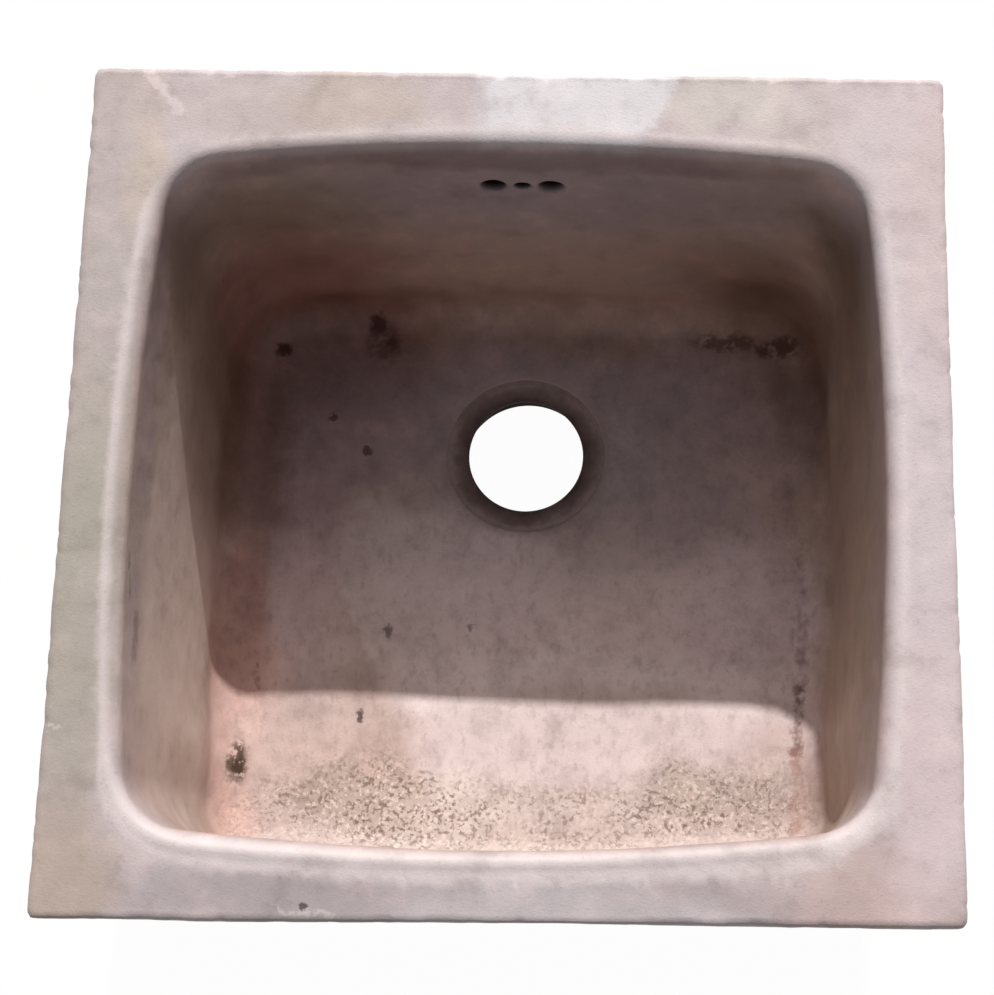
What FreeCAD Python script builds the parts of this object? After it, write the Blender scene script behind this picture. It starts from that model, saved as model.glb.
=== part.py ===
# Stoneware washbasin: one thick fired body with a bowed square bowl, and the waste and the
# overflow fittings that are bedded in it. Millimetres, +Z up, the back of the basin at +Y.
# The origin is the middle of the foot, on the surface that the basin stands on.
import FreeCAD
import Part
import Sketcher
import math
import os

SIZES = {
    # Outside of the fired body: the front and the sides draw in towards the foot, the back is upright
    "basin_width": 400,
    "basin_length": 395,
    "outer_lean": 24,
    "outer_corner_radius": 3,
    "rim_edge_radius": 2.5,
    # Bowl: wall tops measured in from the outer faces, walls leaning in towards the floor
    "bowl_depth": 190,
    "side_rim": 29.5,
    "front_rim": 31.5,
    "back_rim": 37.5,
    "wall_lean": 10,
    "bow_radius": 1250,
    "mouth_corner_radius": 27,
    "floor_corner_radius": 42,
    "floor_fillet": 19,
    "lip_radius": 8,
    # Floor, and the hollow underside inside the foot
    "floor_thickness": 22,
    "foot_height": 28,
    "foot_wall": 30,
    "back_foot_wall": 32,
    "hollow_corner_radius": 20,
    "hollow_fillet": 6,
    "foot_chamfer": 2,
    "pipe_notch_width": 60,
    # Waste: flange seated in a recess of the floor, clamped from below by its nut
    "waste_setback": 65.5,
    "seat_depth": 6,
    "seat_clearance": 0.8,
    "seat_edge_radius": 3,
    "land_thickness": 7,
    "bedding_thickness": 1,
    "flange_radius": 43,
    "flange_thickness": 4,
    "flange_edge_radius": 1,
    "flange_lap": 4.5,
    "hole_clearance": 1,
    "tail_wall": 2,
    "ledge_width": 4.7,
    "ledge_thickness": 3,
    "dish_width": 9,
    "dish_depth": 2,
    "tail_past_nut": 1.5,
    "seal_width": 9,
    "seal_thickness": 2.5,
    "slip_washer_width": 8,
    "slip_washer_thickness": 1,
    "washer_clearance": 0.3,
    "nut_wall": 7,
    "nut_height": 7,
    "nut_chamfer": 2,
    "thread_clearance": 0.1,
    "spanner_room": 6,
    # Overflow: three holes, a duct in the back wall, its cover and its outlet
    "overflow_drop": 43,
    "overflow_spacing": 14,
    "overflow_radius": 5.9,
    "overflow_middle_radius": 3.9,
    "duct_width": 44,
    "duct_depth": 18,
    "duct_headroom": 14,
    "cover_thickness": 10,
    "cover_ledge": 10,
    "cover_joint": 0.4,
    "outlet_cover_wall": 1.5,
    "outlet_overlap": 8,
    "ferrule_radius": 11,
    "ferrule_wall": 2,
    "ferrule_insert": 22,
    "ferrule_spigot": 12,
    "ferrule_clearance": 0.3,
    "collar_radius": 14,
    "collar_thickness": 2,
}

doc = FreeCAD.newDocument("washbasin")
sheet = doc.addObject("Spreadsheet::Sheet", "Sizes")
for row, (alias, value) in enumerate(SIZES.items(), start=1):
    sheet.set(f"A{row}", alias)
    sheet.set(f"B{row}", str(value))
    sheet.setAlias(f"B{row}", alias)
doc.recompute()

# Levels and places that several pieces share, as expressions on the sheet
BACK_FACE = "Sizes.basin_length / 2"
FLOOR_TOP = "(Sizes.foot_height + Sizes.floor_thickness)"
RIM_TOP = f"({FLOOR_TOP} + Sizes.bowl_depth)"
SEAT = f"({FLOOR_TOP} - Sizes.seat_depth)"
LAND = f"({SEAT} - Sizes.land_thickness)"
FLANGE_BASE = f"({SEAT} + Sizes.bedding_thickness)"
SEAL_BASE = f"({LAND} - Sizes.seal_thickness)"
SLIP_BASE = f"({SEAL_BASE} - Sizes.slip_washer_thickness)"
NUT_BASE = f"({SLIP_BASE} - Sizes.nut_height)"
TAIL_END = f"({NUT_BASE} - Sizes.tail_past_nut)"
HOLE_RADIUS = "(Sizes.flange_radius - Sizes.flange_lap)"
TAIL_RADIUS = f"({HOLE_RADIUS} - Sizes.hole_clearance)"
TAIL_BORE = f"({TAIL_RADIUS} - Sizes.tail_wall)"
MOUTH_RADIUS = f"({TAIL_BORE} - Sizes.ledge_width)"
WASHER_BORE = f"({TAIL_RADIUS} + Sizes.washer_clearance)"
NUT_CORNER = f"(({TAIL_RADIUS} + Sizes.nut_wall) / cos(30 deg))"
OVERFLOW_LEVEL = f"({RIM_TOP} - Sizes.overflow_drop)"
DUCT_TOP = f"({OVERFLOW_LEVEL} + Sizes.duct_headroom)"
DUCT_BASE = "(Sizes.foot_height + Sizes.ferrule_insert)"
COVER_SEAT = f"({BACK_FACE} - Sizes.cover_thickness)"
OUTLET_RADIUS = "(Sizes.ferrule_radius + Sizes.ferrule_clearance)"
OUTLET_BACK = f"({COVER_SEAT} - Sizes.outlet_cover_wall - {OUTLET_RADIUS})"
HOLLOW_BACK = f"({BACK_FACE} - Sizes.back_foot_wall)"
HOLLOW_FRONT = f"(Sizes.outer_lean + Sizes.foot_wall - {BACK_FACE})"
HOLLOW_SIDE = "(Sizes.basin_width / 2 - Sizes.outer_lean - Sizes.foot_wall)"

# Sketch geometry starts at this rough size, and its bound dimensions then set it
START = 10.0
# Two heights or reaches closer than this are the same
NEAR = 0.001


def size(alias):
    return float(sheet.get(alias))


def level(*parts):
    return sum(size(part) for part in parts)


def new_body(label):
    body = doc.addObject("PartDesign::Body", label)
    body.Label = label
    return body


def new_sketch(body, name, role, offset="0"):
    sketch = body.newObject("Sketcher::SketchObject", name)
    plane = next(item for item in body.Origin.OriginFeatures if item.Role == role)
    sketch.AttachmentSupport = [(plane, "")]
    sketch.MapMode = "FlatFace"
    sketch.setExpression("AttachmentOffset.Base.z", offset)
    return sketch


def sketch_origin():
    return -1, 1


def centre_of(arc):
    return arc, 3


def bind(sketch, kind, points, value, expression):
    """Adds a dimension to a sketch and ties it to the sheet."""
    index = sketch.addConstraint(Sketcher.Constraint(kind, *points, value))
    name = f"dimension_{index}"
    sketch.renameConstraint(index, name)
    sketch.setExpression(f"Constraints.{name}", expression)


def add_circle(sketch, radius, x="0", y="0"):
    up = FreeCAD.Vector(0, 0, 1)
    index = sketch.addGeometry(Part.Circle(FreeCAD.Vector(START, START, 0), up, START))
    bind(sketch, "Radius", (index,), START, radius)
    bind(sketch, "DistanceX", (*sketch_origin(), *centre_of(index)), START, x)
    bind(sketch, "DistanceY", (*sketch_origin(), *centre_of(index)), START, y)


def add_rectangle(sketch, left, right, low, high):
    corners = [FreeCAD.Vector(x, y, 0) for x, y in ((-1, -1), (1, -1), (1, 1), (-1, 1))]
    lines = []
    for here, there in zip(corners, corners[1:] + corners[:1]):
        lines.append(sketch.addGeometry(Part.LineSegment(here * START, there * START)))
    for line, following in zip(lines, lines[1:] + lines[:1]):
        sketch.addConstraint(Sketcher.Constraint("Coincident", line, 2, following, 1))
    for line, kind in zip(lines, ("Horizontal", "Vertical") * 2):
        sketch.addConstraint(Sketcher.Constraint(kind, line))
    bind(sketch, "DistanceX", (*sketch_origin(), lines[0], 1), -START, left)
    bind(sketch, "DistanceY", (*sketch_origin(), lines[0], 1), -START, low)
    bind(sketch, "DistanceX", (*sketch_origin(), lines[2], 1), START, right)
    bind(sketch, "DistanceY", (*sketch_origin(), lines[2], 1), START, high)


def pad(body, sketch, length, downwards=False):
    feature = body.newObject("PartDesign::Pad", f"{sketch.Name}_pad")
    feature.Profile = sketch
    feature.setExpression("Length", length)
    feature.Reversed = downwards
    doc.recompute()
    return feature


def pocket(body, sketch, length, along_normal=False):
    """Cuts a sketch against its normal, or along it, and makes sure that it cut."""
    before = body.Shape.Volume
    feature = body.newObject("PartDesign::Pocket", f"{sketch.Name}_cut")
    feature.Profile = sketch
    feature.setExpression("Length", length)
    feature.Reversed = along_normal
    doc.recompute()
    if body.Shape.Volume >= before:
        raise RuntimeError(f"{sketch.Name} cuts nothing")
    return feature


def edges_where(body, test):
    found = []
    for index, edge in enumerate(body.Shape.Edges, start=1):
        if test(edge.BoundBox):
            found.append(f"Edge{index}")
    return found


def faces_where(feature, test):
    found = []
    for index, face in enumerate(feature.Shape.Faces, start=1):
        if test(face.BoundBox):
            found.append(f"Face{index}")
    return found


def dress(body, kind, name, test, setting, expression):
    """Adds a fillet or a chamfer to the edges of a body that pass a test."""
    base = body.Tip
    names = edges_where(body, test)
    feature = body.newObject(f"PartDesign::{kind}", name)
    feature.Base = (base, names)
    feature.setExpression(setting, expression)
    doc.recompute()
    return feature


def flat_at(box, height):
    return abs(box.ZMin - height) < NEAR and abs(box.ZMax - height) < NEAR


def add_bowed_square(sketch, lean, corner):
    """Draws the bowl's outline: four gently bowed sides and four round corners.

    The walls stand in from their tops by lean, and corner names the corners' radius.
    """
    bow = size("bow_radius")
    inset = size("wall_lean") if lean else 0.0
    side = size("basin_width") / 2 - size("side_rim") - inset
    back = size("basin_length") / 2 - size("back_rim") - inset
    front = size("basin_length") / 2 - size("front_rim") - inset
    middle = (back - front) / 2
    bow_centres = [(side - bow, middle), (0, back - bow), (bow - side, middle), (0, bow - front)]
    bow_centres = [FreeCAD.Vector(x, y, 0) for x, y in bow_centres]
    up = FreeCAD.Vector(0, 0, 1)
    reach = bow - size(corner)

    # Each corner's centre is where the two bows beside it, drawn in by its radius, cross
    corner_centres = []
    for first, second in zip(bow_centres, bow_centres[1:] + bow_centres[:1]):
        half = (second - first) / 2
        across = FreeCAD.Vector(-half.y, half.x, 0).normalize()
        corner_centres.append(first + half + across * math.sqrt(reach ** 2 - half.Length ** 2))

    def heading(start, end):
        return math.atan2(end.y - start.y, end.x - start.x)

    arcs = []
    for index, centre in enumerate(bow_centres):
        before = heading(centre, corner_centres[index - 1])
        after = heading(centre, corner_centres[index])
        arcs.append(Part.ArcOfCircle(Part.Circle(centre, up, bow), before, after))
        following = heading(bow_centres[(index + 1) % 4], corner_centres[index])
        turn = Part.Circle(corner_centres[index], up, size(corner))
        arcs.append(Part.ArcOfCircle(turn, after, following))
    names = sketch.addGeometry(arcs)
    for here, there in zip(names, names[1:] + names[:1]):
        sketch.addConstraint(Sketcher.Constraint("Tangent", here, 2, there, 1))
    bows = names[0::2]
    corners = names[1::2]
    for group in (bows, corners):
        for other in group[1:]:
            sketch.addConstraint(Sketcher.Constraint("Equal", group[0], other))
    bind(sketch, "Radius", (bows[0],), bow, "Sizes.bow_radius")
    bind(sketch, "Radius", (corners[0],), size(corner), f"Sizes.{corner}")
    drawn_in = "Sizes.wall_lean" if lean else "0"
    side_reach = f"Sizes.bow_radius - (Sizes.basin_width / 2 - Sizes.side_rim - {drawn_in})"
    back_reach = f"Sizes.bow_radius - (Sizes.basin_length / 2 - Sizes.back_rim - {drawn_in})"
    front_reach = f"Sizes.bow_radius - (Sizes.basin_length / 2 - Sizes.front_rim - {drawn_in})"
    bind(sketch, "DistanceX", (*centre_of(bows[0]), *sketch_origin()), bow - side, side_reach)
    bind(sketch, "DistanceX", (*sketch_origin(), *centre_of(bows[2])), bow - side, side_reach)
    bind(sketch, "DistanceY", (*centre_of(bows[1]), *sketch_origin()), bow - back, back_reach)
    bind(sketch, "DistanceY", (*sketch_origin(), *centre_of(bows[3])), bow - front, front_reach)
    middle_place = "(Sizes.front_rim - Sizes.back_rim) / 2"
    bind(sketch, "DistanceY", (*sketch_origin(), *centre_of(bows[0])), middle, middle_place)
    bind(sketch, "DistanceY", (*sketch_origin(), *centre_of(bows[2])), middle, middle_place)
    for index in (1, 3):
        sketch.addConstraint(Sketcher.Constraint("PointOnObject", *centre_of(bows[index]), -2))


def make_basin_body():
    body = new_body("basin_body")
    half_width = size("basin_width") / 2
    half_length = size("basin_length") / 2
    rim = level("foot_height", "floor_thickness", "bowl_depth")
    floor = level("foot_height", "floor_thickness")
    ceiling = size("foot_height")
    easing = size("rim_edge_radius") + size("outer_corner_radius")

    def inside(box):
        reach_x = max(box.XMax, -box.XMin)
        reach_y = max(box.YMax, -box.YMin)
        return reach_x < half_width - easing and reach_y < half_length - easing

    # Outer block, its front and sides drawn in towards the foot, its upright edges eased
    outline = new_sketch(body, "block", "XY_Plane")
    add_rectangle(outline, "-Sizes.basin_width / 2", "Sizes.basin_width / 2", f"-{BACK_FACE}", BACK_FACE)
    block = pad(body, outline, RIM_TOP)
    taper = body.newObject("PartDesign::Draft", "taper")
    taper.Base = (block, faces_where(block, lambda box: box.ZLength > NEAR and box.YMin < -NEAR))
    taper.NeutralPlane = (block, faces_where(block, lambda box: flat_at(box, rim)))
    taper.setExpression("Angle", f"atan(Sizes.outer_lean / {RIM_TOP})")
    taper.Reversed = True
    doc.recompute()
    dress(body, "Fillet", "corner_easing", lambda box: box.ZLength > rim / 2,
          "Radius", "Sizes.outer_corner_radius")

    # Bowl, drawn in from the mouth down to the floor
    mouth = new_sketch(body, "mouth", "XY_Plane", RIM_TOP)
    add_bowed_square(mouth, False, "mouth_corner_radius")
    bottom = new_sketch(body, "bottom", "XY_Plane", FLOOR_TOP)
    add_bowed_square(bottom, True, "floor_corner_radius")
    bowl = body.newObject("PartDesign::SubtractiveLoft", "bowl")
    bowl.Profile = mouth
    bowl.Sections = [bottom]
    bowl.Ruled = True
    doc.recompute()
    dress(body, "Fillet", "floor_rounding", lambda box: flat_at(box, floor) and inside(box),
          "Radius", "Sizes.floor_fillet")
    dress(body, "Fillet", "lip_rounding", lambda box: flat_at(box, rim) and inside(box),
          "Radius", "Sizes.lip_radius")
    dress(body, "Fillet", "rim_easing", lambda box: flat_at(box, rim) and not inside(box),
          "Radius", "Sizes.rim_edge_radius")

    # Hollow underside inside the foot, with a notch for the pipes through the back of the foot
    hollow = new_sketch(body, "hollow", "XY_Plane")
    add_rectangle(hollow, f"-{HOLLOW_SIDE}", HOLLOW_SIDE, HOLLOW_FRONT, HOLLOW_BACK)
    pocket(body, hollow, "Sizes.foot_height", along_normal=True)
    dress(body, "Fillet", "hollow_corners",
          lambda box: inside(box) and abs(box.ZMax - ceiling) < NEAR and box.ZLength > ceiling / 2,
          "Radius", "Sizes.hollow_corner_radius")
    dress(body, "Fillet", "hollow_rounding", lambda box: flat_at(box, ceiling),
          "Radius", "Sizes.hollow_fillet")
    dress(body, "Chamfer", "foot_easing", lambda box: flat_at(box, 0), "Size", "Sizes.foot_chamfer")
    notch = new_sketch(body, "pipe_notch", "XY_Plane")
    add_rectangle(notch, "-Sizes.pipe_notch_width / 2", "Sizes.pipe_notch_width / 2",
                  f"{HOLLOW_BACK} - Sizes.hollow_fillet", f"{BACK_FACE} + Sizes.foot_wall")
    pocket(body, notch, "Sizes.foot_height", along_normal=True)

    # Waste: recessed seat, hole, and the recess of the nut from below
    seat_reach = level("flange_radius", "seat_clearance")
    seat = new_sketch(body, "waste_seat", "XY_Plane", FLOOR_TOP)
    add_circle(seat, "Sizes.flange_radius + Sizes.seat_clearance", y="Sizes.waste_setback")
    pocket(body, seat, "Sizes.seat_depth")
    dress(body, "Fillet", "seat_easing",
          lambda box: flat_at(box, floor) and box.YMin > size("waste_setback") - seat_reach - NEAR
          and box.YMax < size("waste_setback") + seat_reach + NEAR,
          "Radius", "Sizes.seat_edge_radius")
    hole = new_sketch(body, "waste_hole", "XY_Plane", FLOOR_TOP)
    add_circle(hole, HOLE_RADIUS, y="Sizes.waste_setback")
    pocket(body, hole, FLOOR_TOP)
    nut_room = new_sketch(body, "nut_recess", "XY_Plane")
    add_circle(nut_room, f"{NUT_CORNER} + Sizes.spanner_room", y="Sizes.waste_setback")
    pocket(body, nut_room, LAND, along_normal=True)

    # Overflow: rebate of the cover, duct, outlet and the three holes into the bowl
    rebate = new_sketch(body, "cover_rebate", "XZ_Plane", f"-{BACK_FACE}")
    half_rebate = "(Sizes.duct_width / 2 + Sizes.cover_ledge)"
    add_rectangle(rebate, f"-{half_rebate}", half_rebate,
                  f"{DUCT_BASE} - Sizes.cover_ledge", f"{DUCT_TOP} + Sizes.cover_ledge")
    pocket(body, rebate, "Sizes.cover_thickness", along_normal=True)
    duct = new_sketch(body, "duct", "XZ_Plane", f"-{COVER_SEAT}")
    add_rectangle(duct, "-Sizes.duct_width / 2", "Sizes.duct_width / 2", DUCT_BASE, DUCT_TOP)
    pocket(body, duct, "Sizes.duct_depth", along_normal=True)
    outlet = new_sketch(body, "overflow_outlet", "XY_Plane")
    add_circle(outlet, OUTLET_RADIUS, y=OUTLET_BACK)
    pocket(body, outlet, f"{DUCT_BASE} + Sizes.outlet_overlap", along_normal=True)
    holes = new_sketch(body, "overflow_holes", "XZ_Plane", f"-{COVER_SEAT}")
    add_circle(holes, "Sizes.overflow_radius", x="-Sizes.overflow_spacing", y=OVERFLOW_LEVEL)
    add_circle(holes, "Sizes.overflow_middle_radius", y=OVERFLOW_LEVEL)
    add_circle(holes, "Sizes.overflow_radius", x="Sizes.overflow_spacing", y=OVERFLOW_LEVEL)
    pocket(body, holes, COVER_SEAT, along_normal=True)
    return body


def make_overflow_cover():
    body = new_body("overflow_cover")
    slab = new_sketch(body, "cover_slab", "XZ_Plane", f"-{BACK_FACE}")
    half = "(Sizes.duct_width / 2 + Sizes.cover_ledge - Sizes.cover_joint)"
    add_rectangle(slab, f"-{half}", half, f"{DUCT_BASE} - Sizes.cover_ledge + Sizes.cover_joint",
                  f"{DUCT_TOP} + Sizes.cover_ledge - Sizes.cover_joint")
    pad(body, slab, "Sizes.cover_thickness")
    return body


def make_overflow_ferrule():
    body = new_body("overflow_ferrule")
    tube = new_sketch(body, "ferrule_tube", "XY_Plane", DUCT_BASE)
    add_circle(tube, "Sizes.ferrule_radius", y=OUTLET_BACK)
    tube_length = "Sizes.ferrule_insert + Sizes.collar_thickness + Sizes.ferrule_spigot"
    pad(body, tube, tube_length, downwards=True)
    collar = new_sketch(body, "ferrule_collar", "XY_Plane", "Sizes.foot_height")
    add_circle(collar, "Sizes.collar_radius", y=OUTLET_BACK)
    pad(body, collar, "Sizes.collar_thickness", downwards=True)
    bore = new_sketch(body, "ferrule_bore", "XY_Plane", DUCT_BASE)
    add_circle(bore, "Sizes.ferrule_radius - Sizes.ferrule_wall", y=OUTLET_BACK)
    pocket(body, bore, tube_length)
    return body


def make_waste_body():
    body = new_body("waste_body")
    flange = new_sketch(body, "flange", "XY_Plane", FLANGE_BASE)
    add_circle(flange, "Sizes.flange_radius", y="Sizes.waste_setback")
    pad(body, flange, "Sizes.flange_thickness")
    seat = level("foot_height", "floor_thickness") - size("seat_depth")
    top = seat + level("bedding_thickness", "flange_thickness")
    dress(body, "Fillet", "flange_easing", lambda box: flat_at(box, top), "Radius", "Sizes.flange_edge_radius")
    tail = new_sketch(body, "tail", "XY_Plane", FLANGE_BASE)
    add_circle(tail, TAIL_RADIUS, y="Sizes.waste_setback")
    pad(body, tail, f"{FLANGE_BASE} - {TAIL_END}", downwards=True)
    flange_top = f"({FLANGE_BASE} + Sizes.flange_thickness)"
    mouth = new_sketch(body, "waste_mouth", "XY_Plane", flange_top)
    add_circle(mouth, MOUTH_RADIUS, y="Sizes.waste_setback")
    pocket(body, mouth, f"{flange_top} - {TAIL_END}")
    hole_width = 2 * (size("flange_radius") - size("flange_lap"))
    dish = dress(body, "Chamfer", "flange_dish", lambda box: flat_at(box, top) and box.XLength < hole_width,
                 "Size", "Sizes.dish_width")
    dish.ChamferType = "Two distances"
    dish.setExpression("Size2", "Sizes.dish_depth")
    doc.recompute()
    bore = new_sketch(body, "tail_bore", "XY_Plane", TAIL_END)
    add_circle(bore, TAIL_BORE, y="Sizes.waste_setback")
    pocket(body, bore, f"{flange_top} - Sizes.ledge_thickness - {TAIL_END}", along_normal=True)
    return body


def make_ring(label, base, thickness, outer, inner):
    """Makes a flat ring round the waste's axis."""
    body = new_body(label)
    outline = new_sketch(body, f"{label}_outline", "XY_Plane", base)
    add_circle(outline, outer, y="Sizes.waste_setback")
    add_circle(outline, inner, y="Sizes.waste_setback")
    pad(body, outline, thickness)
    return body


def make_waste_back_nut():
    hexagon = doc.addObject("Part::Prism", "nut_hexagon")
    hexagon.Polygon = 6
    hexagon.setExpression("Circumradius", NUT_CORNER)
    hexagon.setExpression("Height", "Sizes.nut_height")
    # A wide cone takes the sharp corners off the nut's lower end
    easing = doc.addObject("Part::Cone", "nut_easing")
    easing.setExpression("Radius1", f"{NUT_CORNER} - Sizes.nut_chamfer")
    easing.setExpression("Radius2", f"{NUT_CORNER} - Sizes.nut_chamfer + Sizes.nut_height / tan(30 deg)")
    easing.setExpression("Height", "Sizes.nut_height")
    thread = doc.addObject("Part::Cylinder", "nut_thread")
    thread.setExpression("Radius", f"{TAIL_RADIUS} + Sizes.thread_clearance")
    thread.setExpression("Height", "Sizes.nut_height")
    for piece in (hexagon, easing, thread):
        piece.setExpression("Placement.Base.y", "Sizes.waste_setback")
        piece.setExpression("Placement.Base.z", NUT_BASE)
    eased = doc.addObject("Part::Common", "nut_eased")
    eased.Base = hexagon
    eased.Tool = easing
    nut = doc.addObject("Part::Cut", "waste_back_nut")
    nut.Base = eased
    nut.Tool = thread
    nut.Label = "waste_back_nut"
    return nut


pieces = [
    make_basin_body(),
    make_overflow_cover(),
    make_overflow_ferrule(),
    make_waste_body(),
    make_ring("waste_bedding", SEAT, "Sizes.bedding_thickness", "Sizes.flange_radius", HOLE_RADIUS),
    make_ring("waste_seal", SEAL_BASE, "Sizes.seal_thickness",
              f"{WASHER_BORE} + Sizes.seal_width", WASHER_BORE),
    make_ring("waste_slip_washer", SLIP_BASE, "Sizes.slip_washer_thickness",
              f"{WASHER_BORE} + Sizes.slip_washer_width", WASHER_BORE),
    make_waste_back_nut(),
]
doc.recompute()

for item in doc.Objects:
    if "Invalid" in item.State or "Error" in item.State:
        raise RuntimeError(f"{item.Label} failed: {item.State}")
for piece in pieces:
    if piece.Shape.isNull() or not piece.Shape.isValid():
        raise RuntimeError(f"{piece.Label} has no valid shape")

os.makedirs("parts", exist_ok=True)
for piece in pieces:
    piece.Shape.exportStep(f"parts/{piece.Label}.step")
    box = piece.Shape.BoundBox
    print(f"{piece.Label}: {len(piece.Shape.Solids)} solid, {piece.Shape.Volume / 1000:.1f} cm3,"
          f" z {box.ZMin:.2f} to {box.ZMax:.2f}")
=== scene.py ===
import bmesh
import bpy
import numpy as np
from mathutils import Matrix, Vector


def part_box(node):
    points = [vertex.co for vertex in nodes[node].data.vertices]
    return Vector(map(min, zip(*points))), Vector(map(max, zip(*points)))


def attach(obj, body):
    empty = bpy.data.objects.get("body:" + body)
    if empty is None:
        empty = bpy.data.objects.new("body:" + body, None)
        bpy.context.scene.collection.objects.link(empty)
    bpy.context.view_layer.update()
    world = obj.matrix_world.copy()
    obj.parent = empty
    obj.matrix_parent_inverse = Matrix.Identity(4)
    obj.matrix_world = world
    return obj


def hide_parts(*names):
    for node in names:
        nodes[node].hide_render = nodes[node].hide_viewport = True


MM = 0.001

# Camera, fitted to the corners of the rim
CAMERA_PLACE = Vector((0.059605, -0.264339, 1.188667))
CAMERA_FORWARD = Vector((-0.063058, 0.258813, -0.963867))
CAMERA_RIGHT = Vector((0.997940, 0.027792, -0.057825))
CAMERA_LENS = 79.52
CAMERA_SENSOR = 36.0

# Light
SUN_ELEVATION = 39.05
SUN_AZIMUTH = 3.4
SUN_SPREAD = 0.8
SUN_STRENGTH = 4.0
SUN_COLOUR = (1.0, 0.965, 0.93)
SKY_STRENGTH = 0.20
SKY_COLOUR = (0.96, 0.98, 1.0)
FLOOR_GLOW = 0.975
FLOOR_SHADE = 0.025
FLOOR_COLOUR = 0.8
FLOOR_REACH = 6.0

# Level of the rim, and the bowed mouth of the bowl inside it
RIM_TOP = 240 * MM
SIDE_RIM = 29.5 * MM
FRONT_RIM = 31.5 * MM
BACK_RIM = 37.5 * MM
MOUTH_BOW = 1250 * MM
MOUTH_CORNER = 27 * MM

# Fired shape of the visible basin
VOXEL = 1.5 * MM
FACE_LIMIT = 180000
TWIST = 0.0689
SPREAD = (1.004, 1.003)
FRONT_DRAW = 0.0035
EDGE_PUSH = 0.45 * MM
LIP_PUSH = 0.9 * MM
CORNER_PUSH = 5.0 * MM
FALL_LEFT = 3.5 * MM
FALL_RIGHT = 5.5 * MM
WASTE_PLACE = (0.0, 65.5 * MM)
WASTE_KEEP = (50 * MM, 80 * MM)
# Dirt packed in the groove round the flange: radius and height of the corners of its section
PACKED_DIRT = (
    (41.2 * MM, 46 * MM),
    (49 * MM, 46 * MM),
    (49 * MM, 50 * MM),
    (41.2 * MM, 49.25 * MM),
)
PACKED_STEPS = 96
OVERFLOW_PLACE = (0.0, 158 * MM, 197 * MM)
OVERFLOW_SHIFT = 2.8 * MM
OVERFLOW_REACH = (24 * MM, 60 * MM)
LATTICE = 32
WELD = 0.001 * MM

# Unevenness: height, width and seed of each noise, and the height where it sets in
WAVE = (0.8 * MM, 90 * MM, 1)
RIPPLE = (0.35 * MM, 30 * MM, 2)
GRAIN = (0.12 * MM, 7 * MM, 3)
UNEVEN_FROM = (30 * MM, 52 * MM)

# Wear of the rim's outer edge: its band, and depth, width, seed and levels of nicks and chips
SIDE_LEAN = 0.1
EDGE_BAND = (0.8 * MM, 3.6 * MM)
NICK_DEPTH = 0.6 * MM
NICK_NOISE = (4 * MM, 4)
NICK_LEVELS = (0.05, 0.8)
CHIP_DEPTH = 0.5 * MM
CHIP_NOISE = (14 * MM, 5)
CHIP_LEVELS = (0.45, 0.9)

# Ranges over which the shares of the bowl, its lip, its floor's fall and its front corners change
BOWL_EDGE = (-5 * MM, 2 * MM)
BOWL_BOTTOM = (40 * MM, 45 * MM)
STEEP = (0.3, 0.8)
LIP_FRONT = (120 * MM, 155 * MM)
LIP_START = -11.5 * MM
LIP_START_FRONT = 5.0 * MM
LIP_END = -8.0 * MM
# At the front the pale band reaches into the bowl as a painted highlight
LIP_HIGHLIGHT_END_FRONT = 6.0 * MM
LIP_RISE = 2.5 * MM
LIP_FADE = 4 * MM
LIP_SHARE = 0.85
LIP_DEPTH = (14 * MM, 5 * MM)
TIGHT_OUT = (-11 * MM, -5 * MM)
TIGHT_IN = (-5 * MM, 1 * MM)
TIGHT_DEPTH = (4 * MM, 9 * MM)
TIGHT_FRONT = (110 * MM, 150 * MM)
FALL_LEVEL = (55 * MM, 85 * MM)
FALL_SPAN = (25 * MM, 140 * MM)
FALL_FREE = (55 * MM, 110 * MM)
CORNER_SIDE = (105 * MM, 150 * MM)
CORNER_FRONT = (95 * MM, 140 * MM)
CORNER_LEVEL = (90 * MM, 200 * MM)
DRAW_SPAN = (100 * MM, 200 * MM)


def value_noise(points, cell, seed):
    """Smooth noise from -1 to 1 at each point, with features about one cell wide."""
    table = np.random.default_rng(seed).uniform(-1.0, 1.0, (LATTICE, LATTICE, LATTICE))
    scaled = points / cell
    base = np.floor(scaled).astype(int)
    part = scaled - base
    ease = part * part * (3.0 - 2.0 * part)
    total = np.zeros(len(points))
    for corner in np.ndindex(2, 2, 2):
        index = (base + corner) % LATTICE
        weight = np.prod(np.where(corner, ease, 1.0 - ease), axis=1)
        total += weight * table[index[:, 0], index[:, 1], index[:, 2]]
    return total


def smooth_step(value, low, high):
    share = np.clip((value - low) / (high - low), 0.0, 1.0)
    return share * share * (3.0 - 2.0 * share)


def applied(piece):
    """Applies the modifiers of a piece to its mesh."""
    graph = bpy.context.evaluated_depsgraph_get()
    mesh = bpy.data.meshes.new_from_object(piece.evaluated_get(graph))
    piece.modifiers.clear()
    piece.data = mesh


def read_points(mesh):
    points = np.empty(len(mesh.vertices) * 3)
    mesh.vertices.foreach_get("co", points)
    return points.reshape(-1, 3)


def read_normals(mesh):
    normals = np.empty(len(mesh.vertices) * 3)
    mesh.vertex_normals.foreach_get("vector", normals)
    return normals.reshape(-1, 3)


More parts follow.
